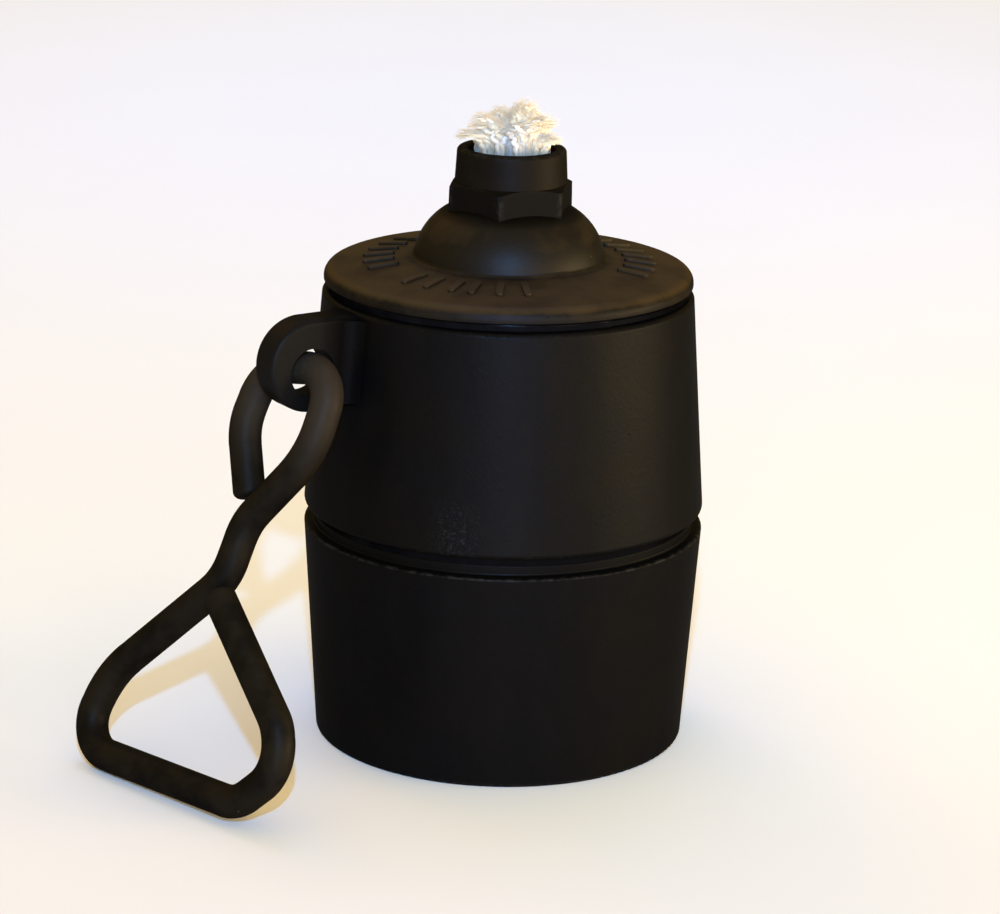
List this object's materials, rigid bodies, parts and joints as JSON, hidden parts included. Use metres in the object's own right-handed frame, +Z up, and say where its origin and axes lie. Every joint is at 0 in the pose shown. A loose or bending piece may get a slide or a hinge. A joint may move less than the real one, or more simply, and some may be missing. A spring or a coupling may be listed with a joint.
{
  "type": "railway torch lamp",
  "caption": "Cast-iron railway oil torch lamp: screwed barrel, screwed lid with a wick spout and a bent-bar carrying handle",
  "frame": {"origin": "centre of the foot, on the floor, where the barrel's axis meets it", "axes": "+Z up the barrel's axis, -X towards the lug and the handle, +Y completes a right-handed set"},
  "size_m": [0.1855, 0.1182, 0.1897],
  "materials": {
    "barrel_iron": "matt black stove finish on rough-cast iron, worn to grey on the edges",
    "lid_iron": "matt black brown finish on rough-cast iron, pale dust specks",
    "bar_iron": "matt black finish on bent round bar",
    "seal": "smooth black sealing ring with a soft gloss",
    "cotton": "cream cotton wick with a frayed end"
  },
  "bodies": {
    "lower": {"lower_shell": "barrel_iron"},
    "joint_seal": {"joint_washer": "seal"},
    "upper": {"upper_shell": "barrel_iron"},
    "lid_seal": {"lid_washer": "seal"},
    "lid": {"lid": "lid_iron"},
    "wick": {"wick_rope": "cotton", "wick_tuft": "cotton"},
    "handle": {"handle": "bar_iron"}
  },
  "joints": [
    {"name": "barrel_lift", "type": "slide", "parent": "lower", "child": "joint_seal", "axis": [0, 0, 1], "range_m": [0, 0.01271]},
    {"name": "barrel_turn", "type": "hinge", "parent": "joint_seal", "child": "upper", "pos_m": [0, 0, 0.0701], "axis": [0, 0, 1], "range_deg": [0, 1440]},
    {"name": "lid_lift", "type": "slide", "parent": "upper", "child": "lid_seal", "axis": [0, 0, 1], "range_m": [0, 0.01271]},
    {"name": "lid_turn", "type": "hinge", "parent": "lid_seal", "child": "lid", "pos_m": [0, 0, 0.1372], "axis": [0, 0, 1], "range_deg": [0, 1440]},
    {"name": "wick_feed", "type": "slide", "parent": "lid", "child": "wick", "axis": [0, 0, 1], "range_m": [0, 0.025]},
    {"name": "handle_swing", "type": "hinge", "parent": "upper", "child": "handle", "pos_m": [-0.0687, 0, 0.1188], "axis": [-0.2079, 0.9781, 0], "range_deg": [-25, 160]}
  ],
  "couplings": [
    {"joint": "barrel_lift", "follows": "barrel_turn", "m_per_rad": 0.00050532},
    {"joint": "lid_lift", "follows": "lid_turn", "m_per_rad": 0.00050532}
  ]
}
